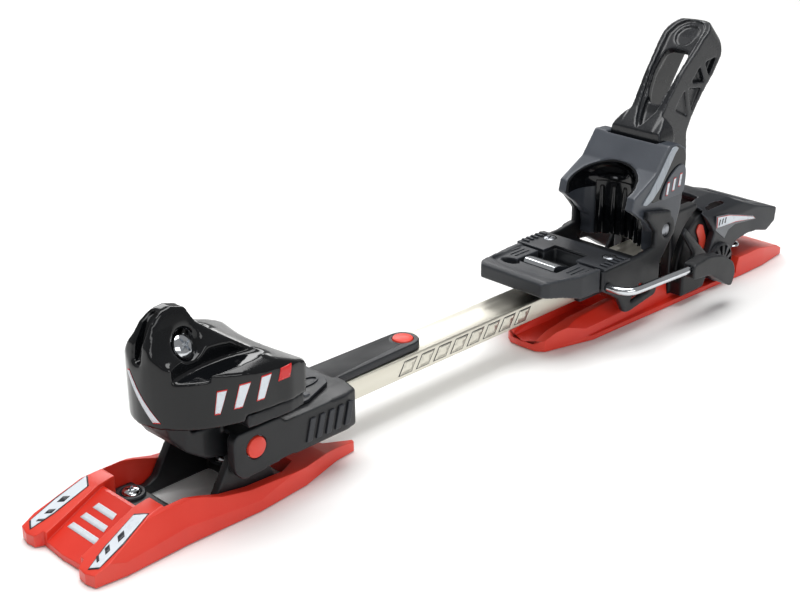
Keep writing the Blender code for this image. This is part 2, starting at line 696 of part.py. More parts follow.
def brake_pad(side):
    outline = [(440, 30), (440, 40), (457, 41.5), (472, 38.4), (486, 30), (489, 22), (485.6, 12.4), (479, 16),
               (473, 20), (460, 28)]
    pad = side_prism("pad", rounded(outline, 3, 2), 45.6, 54.4, side)
    return cut(pad, wire("wire_bore", [(430, WIRE_Y * side, 36.56), (453, WIRE_Y * side, 35.35)], WIRE_R + 0.35))


def brake_pedal():
    bx, bz = BRAKE_AXIS
    outline = [(bx + 4.7, bz + 2.2)] + arc(bx, bz, 5.2, 50, 80, 2) + [
        (366, 49), (356, 52.6), (352, 52.4), (351, 50), (359, 44.5), (371.6, 41.5), (372.2, 36.8), (bx, 36.8)]
    pedal = prism("brake_pedal", "XZ", outline, -12, 12)
    return cut(pedal, cylinder("clip_bore", (bx, -20, bz), (bx, 20, bz), WIRE_R + 0.3, 16))


def build_brake(brake):
    finish(brake_wire(), "chrome", brake)
    finish(both_sides("brake_pad", brake_pad), "matte black", brake)
    finish(brake_pedal(), "chrome", brake)


# ---------------------------------------------------------------- ski base, rear

REAR_SCREWS = [(420, 15, 16.0), (545, 15, 14.5)]      # x, half spacing, height of the face under the head


def rear_base_cover():
    half = [(338, 0), (338.5, 10), (342, 15), (377, 25), (439, 27.5), (502, 30), (533.6, 32), (560, 32),
            (588, 29), (589.5, 20), (589.5, 0)]
    cover = prism("rear_base_cover", "XY", mirrored(half), 0, 20)
    top = [(337, -1), (337, 2.5), (341, 7), (350, 11.5), (368, 14.8), (400, 16), (455, 16), (457, 6), (526, 6), (529, 14.5),
           (553, 14.5), (561, 13), (581, 8.5), (591, 3), (591, -1)]
    common(cover, prism("rear_height", "XZ", top, -40, 40))
    cut(cover, prism("valley", "YZ", [(-13.5, 20), (-8, 4.5), (8, 4.5), (13.5, 20)], 330, 407))
    for side in (-1, 1):
        shoulder = [(15.5 * side, 16.5), (24 * side, 8.5), (24 * side, 20), (15.5 * side, 20)]
        cut(cover, prism("shoulder", "YZ", shoulder, 330, 407))
        low, high = sorted((23.4 * side, 40 * side))
        cut(cover, block("flange", (350, low, 3.5), (527, high, 30)))
    for sx, sy, _ in REAR_SCREWS:
        for side in (-1, 1):
            cut(cover, cylinder("screw_bore", (sx, sy * side, -5), (sx, sy * side, 25), 2.7, 12))
    return cover


def lock_housing():
    x, z = LOCK_AXIS
    wall = [(466.6, 10)] + arc(x, z, 38.4, 180, 100, 8) + [(506, 50), (513, 20), (513, 10)]
    tower = [(458, 10), (458, 56), (464, 62.5), (486, 62.5)] + arc(x, z, 45, 114, 180, 8) + [(461.4, 10)]
    plate = [(459, 7), (484, 7), (487, 12), (487, 29.5), (459.5, 54.5), (456.5, 51), (470, 34), (459, 20)]
    housing = block("lock_housing", (458, -23.2, 6.3), (525.5, 23.2, 17))
    add(housing, block("lock_cross", (459.2, -33.3, 6.5), (483.8, 33.3, 16.8)))
    add(housing, block("beam_seat", (468, -15, 15), (482, 15, 22.4)))
    for side in (-1, 1):
        add(housing, side_prism("lock_wall", wall, 14, 23.1, side))
        add(housing, side_prism("lock_tower", tower, 16, 23.1, side))
        add(housing, side_prism("lock_plate", plate, 30.5, 33.5, side))
    cut(housing, cylinder("lock_axle_bore", (x, -40, z), (x, 40, z), 3.4, 16))
    hx, hz = HOOK_AXIS
    cut(housing, cylinder("hook_pin_bore", (hx, -20, hz), (hx, 20, hz), 2.8, 12))
    cut(housing, block("hook_room", (483.8, -13.9, 13), (512, 13.9, 60)))
    return housing


def build_rear_base():
    lx, lz = LOCK_AXIS
    hx, hz = HOOK_AXIS
    finish(rear_base_cover(), "red plastic", None)
    finish(lock_housing(), "matte black", None)
    finish(ski_screws("rear_screw", REAR_SCREWS), "chrome", None)
    finish(cylinder("lock_axle", (lx, -33, lz), (lx, 33, lz), 3, 16), "steel", None)
    finish(cylinder("hook_pin", (hx, -19.7, hz), (hx, 19.7, hz), 2.5, 16), "steel", None)


def lock_lever():
    x, z = LOCK_AXIS
    cheek = ([(488.5, 55)] + arc(x, z, 43.8, 111, 58, 6)
             + [(550, 46.5), (576, 38.8), (575, 29), (565, 24), (552, 27.5), (540, 28.4), (527.5, 27)]
             + arc(x, z, 13.5, 10, -190, 9) + [(499, 40)])
    hood = (arc(x, z, 44, 112, 57, 8) + [(550, 47.2), (569, 41.5), (575.9, 38.7), (574.9, 29.2), (566, 30), (562, 37),
                                         (540, 47)] + arc(x, z, 39.8, 62, 110, 6))
    lever = prism("lock_lever", "XZ", hood, -24.8, 24.8)
    for side in (-1, 1):
        add(lever, side_prism("lever_cheek", cheek, 24.3, 29.6, side))
    dome = [(29.7, 0), (29.7, 45), (27.6, 52.5), (22.5, 58), (14, 61), (0, 62.2)]
    common(lever, prism("lever_dome", "YZ", dome + [(-y, z) for y, z in reversed(dome) if y > 0], 480, 580))
    add(lever, prism("lever_tail", "XZ", [(558, 40), (574, 37.4), (573.5, 29.4), (565, 25.5), (558, 28)], -24.8, 24.8))
    beam_room = [(478, 13.8), (499.2, 13.8), (501, 12), (501, -12), (499.2, -13.8), (478, -13.8)]
    cut(lever, prism("beam_room", "XY", beam_room, 50, 70))
    return cut(lever, cylinder("lever_bore", (x, -40, z), (x, 40, z), 3.3, 16))


def lever_hubs():
    x, z = LOCK_AXIS
    def hub(side):
        disc = cylinder("hub", (x, 29.9 * side, z), (x, 33.4 * side, z), 13.5, 28)
        return cut(disc, cylinder("hub_bore", (x, 20 * side, z), (x, 40 * side, z), 3.3, 16))
    return both_sides("lever_hub", hub)


def lever_panels():
    outline = [(499.5, 41.5), (499.5, 51.5), (514, 49.5), (545, 40.5), (549, 37), (523, 40), (515, 38), (511, 33)]
    return both_sides("lever_panel", lambda side: side_prism("panel", outline, 29.9, 30.5, side))


def lock_hook():
    x, z = HOOK_AXIS
    outline = arc(x, z, 6, 170, 380, 8) + [(496.5, 38), (493, 48), (489, 50), (484, 47.5), (482.4, 44), (485, 41)]
    hook = prism("lock_hook", "XZ", outline, -9, 9)
    return cut(hook, cylinder("hook_bore", (x, -20, z), (x, 20, z), 2.8, 12))


def build_lock(lever, hook):
    finish(lock_lever(), "grey", lever)
    finish(lever_hubs(), "matte black", lever)
    finish(lever_panels(), "grey", lever)
    finish(lock_hook(), "red plastic", hook)


# ---------------------------------------------------------------- assembly

def build():
    walk = moving_group("walk_group", WALK_AXIS[0], 0, WALK_AXIS[1])
    release = moving_group("release_group", RELEASE_X, 0, 49.8, walk)
    toe_turn = moving_group("toe_screw_group", *on_spring(38), release)
    slide = moving_group("slide_group", 398, 0, BEAM_TOP, walk)
    jaw = moving_group("jaw_group", JAW_AXIS[0], 0, JAW_AXIS[1], slide)
    lever = moving_group("heel_lever_group", LEVER_AXIS[0], 0, LEVER_AXIS[1], jaw)
    heel_turn = moving_group("heel_screw_group", 448.5, 0, 86, jaw)
    brake = moving_group("brake_group", BRAKE_AXIS[0], 0, BRAKE_AXIS[1], slide)
    lock = moving_group("lock_group", LOCK_AXIS[0], 0, LOCK_AXIS[1])
    hook = moving_group("hook_group", HOOK_AXIS[0], 0, HOOK_AXIS[1])
    build_front_base()
    build_rear_base()
    build_frame(walk)
    build_toe(release)
    finish(toe_setting_screw(), "chrome", toe_turn)
    build_carriage(slide)
    build_jaw(jaw)
    finish(heel_lever(), "matte black", lever)
    finish(heel_setting_screw(), "chrome", heel_turn)
    build_brake(brake)
    build_lock(lock, hook)


build()
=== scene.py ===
import math
import bmesh
import bpy
from mathutils import Matrix, Vector
from mathutils.bvhtree import BVHTree


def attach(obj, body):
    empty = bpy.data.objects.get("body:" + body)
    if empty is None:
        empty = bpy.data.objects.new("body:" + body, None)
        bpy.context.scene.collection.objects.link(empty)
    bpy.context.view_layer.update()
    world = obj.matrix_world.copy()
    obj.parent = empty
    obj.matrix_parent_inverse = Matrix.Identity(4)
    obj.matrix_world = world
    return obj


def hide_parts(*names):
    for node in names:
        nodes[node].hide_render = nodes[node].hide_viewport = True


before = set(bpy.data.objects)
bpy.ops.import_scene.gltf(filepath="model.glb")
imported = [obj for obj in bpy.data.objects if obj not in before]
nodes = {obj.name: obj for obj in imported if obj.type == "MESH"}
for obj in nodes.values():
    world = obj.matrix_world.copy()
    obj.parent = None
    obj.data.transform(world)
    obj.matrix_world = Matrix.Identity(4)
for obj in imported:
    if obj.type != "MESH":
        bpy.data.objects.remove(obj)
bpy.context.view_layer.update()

mm = 0.001
frontScrewStation = 54.0      # the frame's origin, counted in mm rearwards from the tips of the prongs
sides = {"left": -1, "right": 1}


def spot(x, y, z):
    return Vector((x - frontScrewStation, y, z)) * mm


# materials: sRGB hex in, linear out

def linear(code):
    values = [int(code[i:i + 2], 16) / 255 for i in (1, 3, 5)]
    return [v / 12.92 if v <= 0.04045 else ((v + 0.055) / 1.055) ** 2.4 for v in values] + [1]


def addNode(tree, kind, settings=None, links=None):
    node = tree.nodes.new(kind)
    for key, value in (settings or {}).items():
        if key in node.inputs:
            node.inputs[key].default_value = value
        else:
            setattr(node, key, value)
    for key, source in (links or {}).items():
        tree.links.new(source, node.inputs[key])
    return node


def makeMaterial(name, look):
    material = bpy.data.materials.new(name)
    material.use_nodes = True
    tree = material.node_tree
    tree.nodes.clear()
    place = addNode(tree, "ShaderNodeTexCoord").outputs["Object"]
    if "stretch" in look:     # brushing runs along one axis, so its pattern is drawn out that way
        place = addNode(tree, "ShaderNodeMapping", {"Scale": look["stretch"]},
                        {"Vector": place}).outputs["Vector"]
    grain = addNode(tree, "ShaderNodeTexNoise", {"Scale": 1 / (look["grainMm"] * mm), "Detail": 3.0,
                                                 "Roughness": 0.6}, {"Vector": place})
    cloud = addNode(tree, "ShaderNodeTexNoise", {"Scale": 1 / (look["cloudMm"] * mm), "Detail": 4.0},
                    {"Vector": place})
    tone = addNode(tree, "ShaderNodeMix", {"data_type": "RGBA"}, {"Factor": cloud.outputs["Fac"]})
    # a Mix node keeps one set of sockets for each kind of value: its colours are inputs 6 and 7 and output 2
    tone.inputs[6].default_value = linear(look["dark"])
    tone.inputs[7].default_value = linear(look["light"])
    colour = tone.outputs[2]
    if "edgeHighlight" in look:        # painted highlight: corners and edges are painted paler than the faces, as if light caught them
        geometry = addNode(tree, "ShaderNodeNewGeometry")
        edge = addNode(tree, "ShaderNodeMapRange", {"From Min": 0.52, "From Max": 0.6,
                                                    "To Max": look["edgeHighlightShare"]},
                       {"Value": geometry.outputs["Pointiness"]})
        highlighted = addNode(tree, "ShaderNodeMix", {"data_type": "RGBA"}, {"Factor": edge.outputs["Result"]})
        tree.links.new(colour, highlighted.inputs[6])
        highlighted.inputs[7].default_value = linear(look["edgeHighlight"])
        colour = highlighted.outputs[2]
    gloss = addNode(tree, "ShaderNodeMapRange", {"From Min": 0.3, "From Max": 0.7, "To Min": look["rough"][0],
                                                 "To Max": look["rough"][1]}, {"Value": cloud.outputs["Fac"]})
    bump = addNode(tree, "ShaderNodeBump", {"Strength": look["bump"], "Distance": look["bumpMm"] * mm},
                   {"Height": grain.outputs["Fac"]})
    shader = addNode(tree, "ShaderNodeBsdfPrincipled", {"Metallic": look.get("metallic", 0.0),
                                                        "Coat Weight": look.get("coat", 0.0)},
                     {"Base Color": colour, "Roughness": gloss.outputs["Result"],
                      "Normal": bump.outputs["Normal"]})
    if "ior" in look:
        shader.inputs["IOR"].default_value = look["ior"]
    shader.inputs["Coat Roughness"].default_value = 0.04
    shader.inputs["Specular IOR Level"].default_value = look.get("specular", 0.5)
    addNode(tree, "ShaderNodeOutputMaterial", links={"Surface": shader.outputs["BSDF"]})
    return material


# in each look, the edge colour and its share paint a highlight along corners and edges
# glass-filled nylon, moulded: a faint dry grain, drawn coarser than life so that it shows
redNylon = makeMaterial("redNylon", {"dark": "#D42817", "light": "#E43826", "edgeHighlight": "#F07058", "edgeHighlightShare": 0.3,
                                     "ior": 1.53, "grainMm": 0.5, "cloudMm": 22, "rough": (0.3, 0.42),
                                     "bump": 0.25, "bumpMm": 0.05})
blackNylon = makeMaterial("blackNylon", {"dark": "#0F1013", "light": "#17191C", "edgeHighlight": "#444850",
                                         "edgeHighlightShare": 0.5, "ior": 1.53, "grainMm": 0.55, "cloudMm": 18,
                                         "rough": (0.36, 0.5), "bump": 0.35, "bumpMm": 0.06,
                                         "specular": 0.36})
greyNylon = makeMaterial("greyNylon", {"dark": "#1F2125", "light": "#292C31", "edgeHighlight": "#646972", "edgeHighlightShare": 0.45,
                                       "ior": 1.53, "grainMm": 0.55, "cloudMm": 20, "rough": (0.38, 0.5),
                                       "bump": 0.3, "bumpMm": 0.05, "specular": 0.38})
# the same nylon with a waxy sheen, worn smooth by hands and poles
sheenNylon = makeMaterial("sheenNylon", {"dark": "#131518", "light": "#1B1D21", "edgeHighlight": "#5A6068",
                                         "edgeHighlightShare": 0.5, "ior": 1.54, "grainMm": 0.8, "cloudMm": 16,
                                         "rough": (0.2, 0.32), "bump": 0.18, "bumpMm": 0.04, "specular": 0.4})
# ABS from a polished mould: deep black with hard reflections and a barely wavy skin
blackAbs = makeMaterial("blackAbs", {"dark": "#08090B", "light": "#0D0F12", "ior": 1.52, "grainMm": 9,
                                     "cloudMm": 30, "rough": (0.06, 0.12), "bump": 0.12, "bumpMm": 0.05,
                                     "specular": 0.32, "coat": 0.12})
# ABS from a spark-eroded mould: satin, dark on the heel face and mid grey on the lock lever
greyAbs = makeMaterial("greyAbs", {"dark": "#363A41", "light": "#40454D", "edgeHighlight": "#7C828B", "edgeHighlightShare": 0.35,
                                   "ior": 1.52, "grainMm": 0.6, "cloudMm": 25, "rough": (0.3, 0.42),
                                   "bump": 0.2, "bumpMm": 0.04})
midAbs = makeMaterial("midAbs", {"dark": "#585B60", "light": "#686B70", "edgeHighlight": "#8C9096", "edgeHighlightShare": 0.3,
                                 "ior": 1.52, "grainMm": 0.6, "cloudMm": 25, "rough": (0.3, 0.4), "bump": 0.2,
                                 "bumpMm": 0.04})
# printed vinyl film: one even colour under a thin semi-gloss layer; the grey one has fine upright streaks
paleVinyl = makeMaterial("paleVinyl", {"dark": "#D3DAE2", "light": "#E2E8EE", "ior": 1.5, "grainMm": 1.2,
                                       "cloudMm": 8, "rough": (0.24, 0.34), "bump": 0.05, "bumpMm": 0.02})
darkVinyl = makeMaterial("darkVinyl", {"dark": "#22252B", "light": "#2C3038", "ior": 1.5, "grainMm": 1.2,
                                       "cloudMm": 8, "rough": (0.28, 0.36), "bump": 0.05, "bumpMm": 0.02})
greyVinyl = makeMaterial("greyVinyl", {"dark": "#8A9199", "light": "#A9B0B8", "ior": 1.5,
                                       "stretch": (1, 1, 0.1), "grainMm": 0.8, "cloudMm": 3,
                                       "rough": (0.24, 0.36), "bump": 0.1, "bumpMm": 0.02})
redVinyl = makeMaterial("redVinyl", {"dark": "#C51F22", "light": "#D62C2A", "ior": 1.5, "grainMm": 1.2,
                                     "cloudMm": 8, "rough": (0.26, 0.34), "bump": 0.05, "bumpMm": 0.02})
# anodised aluminium, brushed lengthwise: warm silver with fine long scratches
anodisedAluminium = makeMaterial("anodisedAluminium", {"dark": "#CFCBBD", "light": "#DEDBD0", "metallic": 1.0,
                                                       "stretch": (0.02, 1, 1), "grainMm": 0.5,
                                                       "cloudMm": 3.5, "rough": (0.3, 0.42), "bump": 0.3,
                                                       "bumpMm": 0.03})
# steel: mirror-bright where it is chromed, duller and finely grooved where it is turned, darkest in springs
chromedSteel = makeMaterial("chromedSteel", {"dark": "#C9CDD2", "light": "#DADDE0", "metallic": 1.0,
                                             "grainMm": 3, "cloudMm": 6, "rough": (0.08, 0.18), "bump": 0.08,
                                             "bumpMm": 0.02})
turnedSteel = makeMaterial("turnedSteel", {"dark": "#85888D", "light": "#A0A3A8", "metallic": 1.0,
                                           "grainMm": 0.6, "cloudMm": 5, "rough": (0.26, 0.38), "bump": 0.2,
                                           "bumpMm": 0.02})
springSteel = makeMaterial("springSteel", {"dark": "#5E6268", "light": "#74787E", "metallic": 1.0,
                                           "grainMm": 0.5, "cloudMm": 4, "rough": (0.3, 0.4), "bump": 0.2,
                                           "bumpMm": 0.02})
print("materials made")


# shapes

def tempObject(shape):
    mesh = bpy.data.meshes.new("temp")
    shape.to_mesh(mesh)
    shape.free()
    obj = bpy.data.objects.new("temp", mesh)
    bpy.context.scene.collection.objects.link(obj)
    return obj


def bakedShape(obj, *others):
    # the object's modifiers applied, as a new bmesh; it and its tools are then removed
    graph = bpy.context.evaluated_depsgraph_get()
    shape = bmesh.new()
    shape.from_object(obj, graph)
    for item in (obj, *others):
        mesh = item.data
        bpy.data.objects.remove(item, do_unlink=True)
        bpy.data.meshes.remove(mesh)
    return shape


def combine(shape, operation, *tools):
    target = tempObject(shape)
    helpers = [tempObject(tool) for tool in tools]
    for helper in helpers:
        step = target.modifiers.new("combine", "BOOLEAN")
        step.operation = operation
        step.object = helper
    return bakedShape(target, *helpers)


def copyNode(node):
    shape = bmesh.new()
    shape.from_mesh(nodes[node].data)
    bmesh.ops.remove_doubles(shape, verts=shape.verts, dist=0.002 * mm)
    bmesh.ops.dissolve_limit(shape, angle_limit=math.radians(0.6), verts=shape.verts, edges=shape.edges)
    return shape


def soften(shape, voxel, rounds, strength=0.5):
    # a moulding's rounded edges and filled corners: remeshed to even squares, then relaxed
    obj = tempObject(shape)
    step = obj.modifiers.new("squares", "REMESH")
    step.mode = "VOXEL"
    step.voxel_size = voxel * mm
    result = bakedShape(obj)
    for _ in range(rounds):
        bmesh.ops.smooth_vert(result, verts=result.verts, factor=strength, use_axis_x=True, use_axis_y=True,
                              use_axis_z=True)
    return result


def slab(outline, plane, low, high):
    # an outline in plane XY, XZ or YZ, thickened along the third axis
    def place(u, v, w):
        return spot(*{"XY": (u, v, w), "XZ": (u, w, v), "YZ": (w, u, v)}[plane])
    shape = bmesh.new()
    corners = [shape.verts.new(place(u, v, low)) for u, v in outline]
    face = shape.faces.new(corners)
    grown = bmesh.ops.extrude_face_region(shape, geom=[face])
    moved = [item for item in grown["geom"] if isinstance(item, bmesh.types.BMVert)]
    bmesh.ops.translate(shape, verts=moved, vec=place(0, 0, high) - place(0, 0, low))
    bmesh.ops.recalc_face_normals(shape, faces=shape.faces)
    return shape


def box(low, high):
    return slab([(low[0], low[1]), (high[0], low[1]), (high[0], high[1]), (low[0], high[1])], "XY", low[2],
                high[2])


def aim(shape, foot, direction):
    # stands a shape made on the Z axis at foot, pointing along direction
    turn = Vector(direction).to_track_quat("Z", "Y").to_matrix().to_4x4()
    bmesh.ops.transform(shape, matrix=Matrix.Translation(spot(*foot)) @ turn, verts=shape.verts)
    return shape


def rod(start, end, radius, sections=32):
    way = Vector(end) - Vector(start)
    shape = bmesh.new()
    bmesh.ops.create_cone(shape, cap_ends=True, segments=sections, radius1=radius * mm, radius2=radius * mm,
                          depth=way.length * mm)
    return aim(shape, tuple((Vector(start) + Vector(end)) / 2), way)


def turned(profile, steps=36):
    # profile of (radius, height) in mm, spun about Z
    shape = bmesh.new()
    points = [shape.verts.new((radius * mm, 0, height * mm)) for radius, height in profile]
    edges = [shape.edges.new(pair) for pair in zip(points, points[1:])]
    bmesh.ops.spin(shape, geom=points + edges, axis=(0, 0, 1), cent=(0, 0, 0), angle=2 * math.pi, steps=steps,
                   use_merge=True)
    bmesh.ops.remove_doubles(shape, verts=shape.verts, dist=0.002 * mm)
    bmesh.ops.recalc_face_normals(shape, faces=shape.faces)
    return shape


def roundBend(points, radius, count=4):
    # an outline whose corners are rounded by short curves
    result = []
    for i, corner in enumerate(points):
        here = Vector(corner)
        ends = []
        for other in (Vector(points[i - 1]), Vector(points[(i + 1) % len(points)])):
            side = other - here
            ends.append(here + side.normalized() * min(radius, side.length * 0.45))
        for k in range(count + 1):
            t = k / count
            mixed = ends[0] * (1 - t) ** 2 + here * (2 * t * (1 - t)) + ends[1] * t ** 2
            result.append((mixed.x, mixed.y))
    return result


def oval(cx, cy, rx, ry, count=32):
    points = []
    for i in range(count):
        angle = 2 * math.pi * i / count
        points.append((cx + rx * math.cos(angle), cy + ry * math.sin(angle)))
    return points


def addPiece(name, shape, material, body, slotName, *replaced, crease=35, bevel=0.0):
    mesh = bpy.data.meshes.new(name)
    shape.to_mesh(mesh)
    shape.free()
    mesh.materials.clear()
    mesh.materials.append(material)
    mesh.shade_smooth()
    mesh.set_sharp_from_angle(angle=math.radians(crease))
    obj = bpy.data.objects.new(name, mesh)
    bpy.context.scene.collection.objects.link(obj)
    if bevel:
        edge = obj.modifiers.new("edge", "BEVEL")
        edge.width = bevel * mm
        edge.segments = 2
        edge.limit_method = "ANGLE"
        edge.angle_limit = math.radians(35)
        edge.harden_normals = True
    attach(obj, body)
    if replaced:
        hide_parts(*replaced)
    return obj


def addFilm(name, outline, plane, side, target, material, body, slotName, lift=0.08, step=1.5):
    # a thin film laid on the target: its outline is cut into squares, then dropped onto the surface
    away = {"XY": Vector((0, 0, side)), "XZ": Vector((0, side, 0)), "YZ": Vector((side, 0, 0))}[plane]
    def place(u, v):
        return {"XY": spot(u, v, 0), "XZ": spot(u, 0, v), "YZ": spot(frontScrewStation, u, v)}[plane]
    shape = bmesh.new()
    shape.faces.new([shape.verts.new(place(u, v)) for u, v in outline])
    axes = [i for i in range(3) if abs(away[i]) < 0.5]
    for axis in axes:
        low = min(v.co[axis] for v in shape.verts)
        high = max(v.co[axis] for v in shape.verts)
        normal = Vector([1.0 if i == axis else 0.0 for i in range(3)])
        at = low + step * mm
        while at < high:
            bmesh.ops.bisect_plane(shape, geom=shape.verts[:] + shape.edges[:] + shape.faces[:],
                                   plane_co=normal * at, plane_no=normal)
            at += step * mm
    tree = BVHTree.FromObject(target, bpy.context.evaluated_depsgraph_get())
    missed = []
    for vert in shape.verts:
        hit = tree.ray_cast(vert.co + away * 0.6, -away)[0]
        if hit is None:
            missed.append(vert)
        else:
            vert.co = hit + away * lift * mm
    bmesh.ops.delete(shape, geom=missed, context="VERTS")
    shape.normal_update()
    wrong = [face for face in shape.faces if face.normal.dot(away) < 0]
    bmesh.ops.reverse_faces(shape, faces=wrong)
    obj = addPiece(name, shape, material, body, slotName)
    wall = obj.modifiers.new("film", "SOLIDIFY")
    wall.thickness = 0.12 * mm
    wall.offset = 1.0
    return obj


cornerShare = 1.3     # a corner moves in further than the edges beside it


def addLabel(name, outline, plane, side, target, body, slotName, border=0.7, rim=darkVinyl):
    # a film with a narrow darker border
    middle = sum((Vector(point) for point in outline), Vector((0, 0))) / len(outline)
    inner = []
    for point in outline:
        way = Vector(point) - middle
        corner = middle + way * max(0.0, 1 - border * cornerShare / way.length)
        inner.append((corner.x, corner.y))
    addFilm(name + "_rim", outline, plane, side, target, rim, body, slotName)
    addFilm(name, inner, plane, side, target, paleVinyl, body, slotName, lift=0.2)


# degrees about the head's axis, half length and width as shares of its radius, depth as a share of its
# height: a deep cross, then a shallow one
crossBlades = ((0, 0.62, 0.2, 0.85), (90, 0.62, 0.2, 0.85), (45, 0.34, 0.08, 0.4), (135, 0.34, 0.08, 0.4))


def crossHead(radius, height):
    # a pan head with a cross recess, standing on Z = 0
    head = turned([(0, height), (radius * 0.5, height * 0.96), (radius * 0.8, height * 0.78),
                   (radius * 0.96, height * 0.45), (radius, height * 0.12), (radius * 0.98, 0), (0, 0)])
    tools = []
    for degrees, long, wide, deep in crossBlades:
        blade = bmesh.new()
        bmesh.ops.create_cube(blade, size=1)
        bmesh.ops.scale(blade, vec=(2 * long * radius * mm, wide * radius * mm, 2 * deep * height * mm),
                        verts=blade.verts)
        angle = math.radians(degrees)
        bmesh.ops.rotate(blade, cent=(0, 0, 0), matrix=Matrix.Rotation(angle, 3, "Z"), verts=blade.verts)
        bmesh.ops.translate(blade, verts=blade.verts, vec=(0, 0, height * mm))
        tools.append(blade)
    return combine(head, "DIFFERENCE", *tools)


def addScrew(name, foot, direction, radius, height, material, body, slotName, *replaced, spin=20):
    head = crossHead(radius, height)
    bmesh.ops.rotate(head, cent=(0, 0, 0), matrix=Matrix.Rotation(math.radians(spin), 3, "Z"),
                     verts=head.verts)
    return addPiece(name, aim(head, foot, direction), material, body, slotName, *replaced, crease=30)


# front base: a red moulding with two prongs, a valley between them and an open middle

frontBase = {"edge": 1.0, "label": [(2, 24.6), (5, 29.5), (20, 29.2), (37.5, 25.6), (33.5, 18.8), (14, 21)],
             "bars": ((6.5, 3.0), (11.5, 5.5), (19, 7.5)), "barOuter": 25.8, "barInner": 22.4, "barLean": 2,
             "stripes": 3, "firstStripe": 15, "stripePitch": 6.5, "stripeHalf": 11.5, "stripeLong": 3.2}


def makeFrontBase(settings):
    cover = addPiece("front_base_moulding", copyNode("front_base_cover"), redNylon, "ski_base", "red_plastic",
                     "front_base_cover", bevel=settings["edge"])
    for label, side in sides.items():
        outline = [(x, y * side) for x, y in settings["label"]]
        addLabel(f"prong_panel_{label}", outline, "XY", 1, cover, "ski_base", "silver_label")
        outer, inner, lean = settings["barOuter"] * side, settings["barInner"] * side, settings["barLean"]
        for i, (x, length) in enumerate(settings["bars"]):
            bar = [(x, outer), (x + length * 0.5, outer), (x + length * 0.5 + lean, inner), (x + lean, inner)]
            addFilm(f"prong_bar_{label}_{i + 1}", bar, "XY", 1, cover, darkVinyl, "ski_base", "black_nylon",
                    lift=0.3)
    for i in range(settings["stripes"]):
        x = settings["firstStripe"] + settings["stripePitch"] * i
        wide = settings["stripeHalf"] - 1.6 * i
        end = x + settings["stripeLong"]
        stripe = [(x, -wide), (end, -wide + 0.8), (end, wide - 0.8), (x, wide)]
        addFilm(f"valley_stripe_{i + 1}", stripe, "XY", 1, cover, paleVinyl, "ski_base", "silver_label")


makeFrontBase(frontBase)
addPiece("pivot_bracket_moulding", soften(copyNode("pivot_bracket"), 0.8, 3), blackNylon, "ski_base",
         "black_nylon", "pivot_bracket", crease=60)
frontScrews = {"places": ((54, -13.8, 9.8), (54, 13.8, 9.8), (113, -13.8, 6.3), (113, 13.8, 6.3)),
               "height": 2.7,
               "boss": [(5.4, 0), (5.4, 0.9), (5.8, 1.4), (7.0, 1.4), (7.6, 0.8), (7.6, 0), (5.4, 0)]}
# each cross is turned further than the one before, in degrees
skiScrewRadius, firstSpin, nextSpin = 5, 12, 31
for number, (x, y, z) in enumerate(frontScrews["places"]):
    addScrew(f"front_screw_head_{number + 1}", (x, y, z), (0, 0, 1), skiScrewRadius, frontScrews["height"],
             chromedSteel, "ski_base", "chrome_steel", f"front_screw_{number + 1}",
             spin=firstSpin + nextSpin * number)
    ring = turned(frontScrews["boss"])
    addPiece(f"screw_boss_{number + 1}", aim(ring, (x, y, z - 0.35), (0, 0, 1)), blackNylon, "ski_base",
             "black_nylon")
print("front base made")


# toe carrier, beam and its cover

addPiece("toe_carrier_moulding", soften(copyNode("toe_carrier"), 0.8, 3), blackNylon, "frame", "black_nylon",
         "toe_carrier", crease=60)
carrierFins = {"count": 5, "first": 131.0, "pitch": 6.6, "long": 3.6, "low": 26.0, "high": 38.5, "lean": 3.2,
               "inner": 31.4, "outer": 33.0}
for label, side in sides.items():
    for i in range(carrierFins["count"]):
        x = carrierFins["first"] + carrierFins["pitch"] * i
        long, lean = carrierFins["long"], carrierFins["lean"]
        fin = [(x, carrierFins["low"]), (x + long, carrierFins["low"]),
               (x + long + lean, carrierFins["high"]), (x + lean, carrierFins["high"])]
        low, high = sorted((carrierFins["inner"] * side, carrierFins["outer"] * side))
        addPiece(f"carrier_fin_{label}_{i + 1}", slab(fin, "XZ", low, high), blackNylon, "frame",
                 "black_nylon", bevel=0.4)
    cap = turned([(0, 2.3), (4.4, 2.2), (5.5, 1.7), (5.8, 1.0), (5.8, 0), (0, 0)], 48)
    addPiece(f"pivot_cap_disc_{label}", aim(cap, (99, 30.7 * side, 36), (0, side, 0)), redNylon, "frame",
             "red_plastic", f"pivot_cap_{label}", crease=30)

addPiece("gliding_plate_moulding", copyNode("gliding_plate"), blackNylon, "frame", "black_nylon",
         "gliding_plate", bevel=0.5)


def ovalRidge(cx, cy, rx, ry, z, width, height):
    ring = slab(oval(cx, cy, rx, ry), "XY", z, z + height)
    hole = slab(oval(cx, cy, rx - width, ry - width), "XY", z - 1, z + height + 1)
    return combine(ring, "DIFFERENCE", hole)


